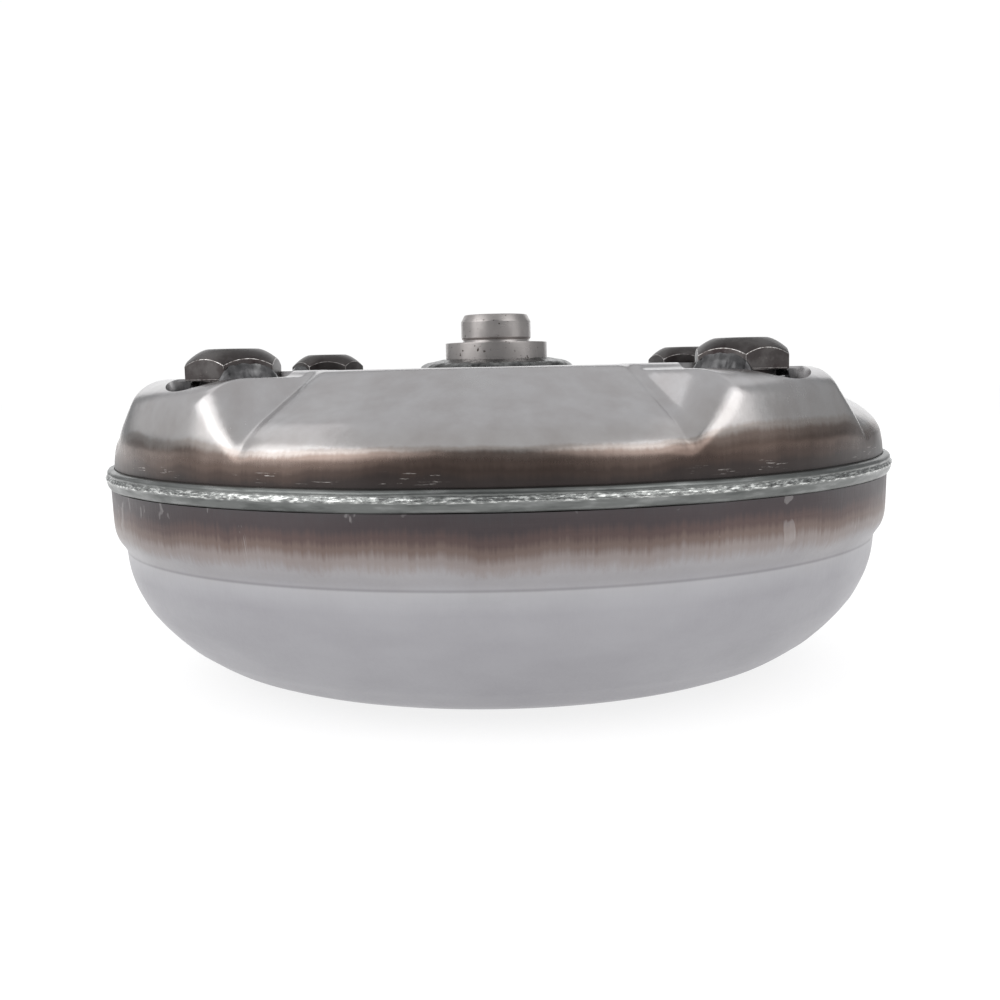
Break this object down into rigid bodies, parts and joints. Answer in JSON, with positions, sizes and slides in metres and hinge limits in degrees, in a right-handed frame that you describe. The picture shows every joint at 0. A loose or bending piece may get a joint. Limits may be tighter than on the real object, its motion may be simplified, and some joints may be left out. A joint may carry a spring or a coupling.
{
  "type": "torque converter",
  "caption": "Welded torque converter with a lobed steel cover, hexagonal drive nuts, a stepped crank pilot and a bowl-shaped impeller shell over a turbine, stator and lock-up clutch.",
  "frame": {"origin": "Centre of the lowest plane, where the rotation axis meets the surface that the impeller shell stands on.", "axes": "+Z is the rotation axis, from the transmission side up to the crank pilot; the first drive nut is 42.4 degrees from +X towards +Y."},
  "size_m": [0.262, 0.262, 0.1159],
  "materials": {
    "pressed_steel": "bare deep-drawn steel, smooth and reflective, heat-tinted brown next to the weld",
    "bowl_steel": "bare deep-drawn steel, satin, with fine drawing lines and a heat-tinted band under the weld",
    "weld_steel": "as-welded steel bead, rippled, with bright flecks",
    "nut_steel": "blackened steel with a brown oil film",
    "machined_steel": "turned steel",
    "sheet_steel": "pressed sheet steel",
    "hard_steel": "ground hardened steel",
    "spring_steel": "blue-black spring steel",
    "aluminium": "die-cast aluminium",
    "friction_paper": "resin-bonded friction paper",
    "seal_resin": "filled PTFE seal",
    "phenolic": "moulded phenolic"
  },
  "bodies": {
    "housing": {"front_cover": "pressed_steel", "crank_pilot": "machined_steel", "pilot_weld": "weld_steel", "drive_nut_1": "nut_steel", "drive_nut_2": "nut_steel", "drive_nut_3": "nut_steel", "drive_nut_4": "nut_steel", "seam_weld": "weld_steel", "impeller_shell": "bowl_steel", "impeller_blades": "sheet_steel", "impeller_hub": "machined_steel", "rear_bearing_race": "hard_steel", "cover_thrust_washer": "phenolic"},
    "turbine": {"turbine_shell": "sheet_steel", "turbine_blades": "sheet_steel", "turbine_hub": "machined_steel", "turbine_rivet_1": "hard_steel", "turbine_rivet_2": "hard_steel", "turbine_rivet_3": "hard_steel", "turbine_rivet_4": "hard_steel", "turbine_rivet_5": "hard_steel", "turbine_rivet_6": "hard_steel", "damper_driven_plate": "sheet_steel", "piston_seal_ring": "seal_resin"},
    "damper": {"damper_drive_plate": "sheet_steel", "damper_spring_1": "spring_steel", "damper_spring_2": "spring_steel", "damper_spring_3": "spring_steel", "damper_spring_4": "spring_steel", "damper_spring_5": "spring_steel", "damper_spring_6": "spring_steel"},
    "piston": {"lockup_piston": "sheet_steel", "friction_lining": "friction_paper"},
    "stator": {"stator_wheel": "aluminium", "clutch_outer_race": "hard_steel", "stator_rear_cap": "phenolic", "stator_front_cap": "phenolic", "roller_spring_1": "spring_steel", "roller_spring_2": "spring_steel", "roller_spring_3": "spring_steel", "roller_spring_4": "spring_steel", "roller_spring_5": "spring_steel", "roller_spring_6": "spring_steel", "front_bearing_race": "hard_steel"},
    "inner_race": {"clutch_inner_race": "hard_steel"},
    "rear_needles": {"rear_bearing_needles": "hard_steel"},
    "front_needles": {"front_bearing_needles": "hard_steel"},
    "roller_1": {"clutch_roller_1": "hard_steel"},
    "roller_2": {"clutch_roller_2": "hard_steel"},
    "roller_3": {"clutch_roller_3": "hard_steel"},
    "roller_4": {"clutch_roller_4": "hard_steel"},
    "roller_5": {"clutch_roller_5": "hard_steel"},
    "roller_6": {"clutch_roller_6": "hard_steel"}
  },
  "joints": [
    {"name": "turbine_spin", "type": "hinge", "parent": "housing", "child": "turbine", "pos_m": [0, 0, 0.06], "axis": [0, 0, 1], "continuous": true},
    {"name": "damper_twist", "type": "hinge", "parent": "turbine", "child": "damper", "pos_m": [0, 0, 0.086], "axis": [0, 0, 1], "range_deg": [0, 8], "stiffness_Nm_per_rad": 60, "deforming": ["damper_spring_1", "damper_spring_2", "damper_spring_3", "damper_spring_4", "damper_spring_5", "damper_spring_6"]},
    {"name": "lockup_apply", "type": "slide", "parent": "damper", "child": "piston", "axis": [0, 0, 1], "range_m": [0, 0.0013]},
    {"name": "stator_spin", "type": "hinge", "parent": "housing", "child": "stator", "pos_m": [0, 0, 0.043], "axis": [0, 0, 1], "continuous": true},
    {"name": "clutch_overrun", "type": "hinge", "parent": "stator", "child": "inner_race", "pos_m": [0, 0, 0.043], "axis": [0, 0, 1], "continuous": true},
    {"name": "roller_spin_1", "type": "hinge", "parent": "stator", "child": "roller_1", "pos_m": [0.028, 0, 0.043], "axis": [0, 0, 1], "continuous": true},
    {"name": "roller_spin_2", "type": "hinge", "parent": "stator", "child": "roller_2", "pos_m": [0.014, 0.02425, 0.043], "axis": [0, 0, 1], "continuous": true},
    {"name": "roller_spin_3", "type": "hinge", "parent": "stator", "child": "roller_3", "pos_m": [-0.014, 0.02425, 0.043], "axis": [0, 0, 1], "continuous": true},
    {"name": "roller_spin_4", "type": "hinge", "parent": "stator", "child": "roller_4", "pos_m": [-0.028, 0, 0.043], "axis": [0, 0, 1], "continuous": true},
    {"name": "roller_spin_5", "type": "hinge", "parent": "stator", "child": "roller_5", "pos_m": [-0.014, -0.02425, 0.043], "axis": [0, 0, 1], "continuous": true},
    {"name": "roller_spin_6", "type": "hinge", "parent": "stator", "child": "roller_6", "pos_m": [0.014, -0.02425, 0.043], "axis": [0, 0, 1], "continuous": true},
    {"name": "rear_needles_roll", "type": "hinge", "parent": "housing", "child": "rear_needles", "pos_m": [0, 0, 0.0278], "axis": [0, 0, 1], "continuous": true},
    {"name": "front_needles_roll", "type": "hinge", "parent": "housing", "child": "front_needles", "pos_m": [0, 0, 0.058], "axis": [0, 0, 1], "continuous": true}
  ],
  "couplings": [
    {"joint": "roller_spin_1", "follows": "clutch_overrun", "ratio": -6.6667},
    {"joint": "roller_spin_2", "follows": "clutch_overrun", "ratio": -6.6667},
    {"joint": "roller_spin_3", "follows": "clutch_overrun", "ratio": -6.6667},
    {"joint": "roller_spin_4", "follows": "clutch_overrun", "ratio": -6.6667},
    {"joint": "roller_spin_5", "follows": "clutch_overrun", "ratio": -6.6667},
    {"joint": "roller_spin_6", "follows": "clutch_overrun", "ratio": -6.6667},
    {"joint": "rear_needles_roll", "follows": "stator_spin", "ratio": 0.5},
    {"joint": "front_needles_roll", "follows": "turbine_spin", "ratio": 0.5}
  ]
}
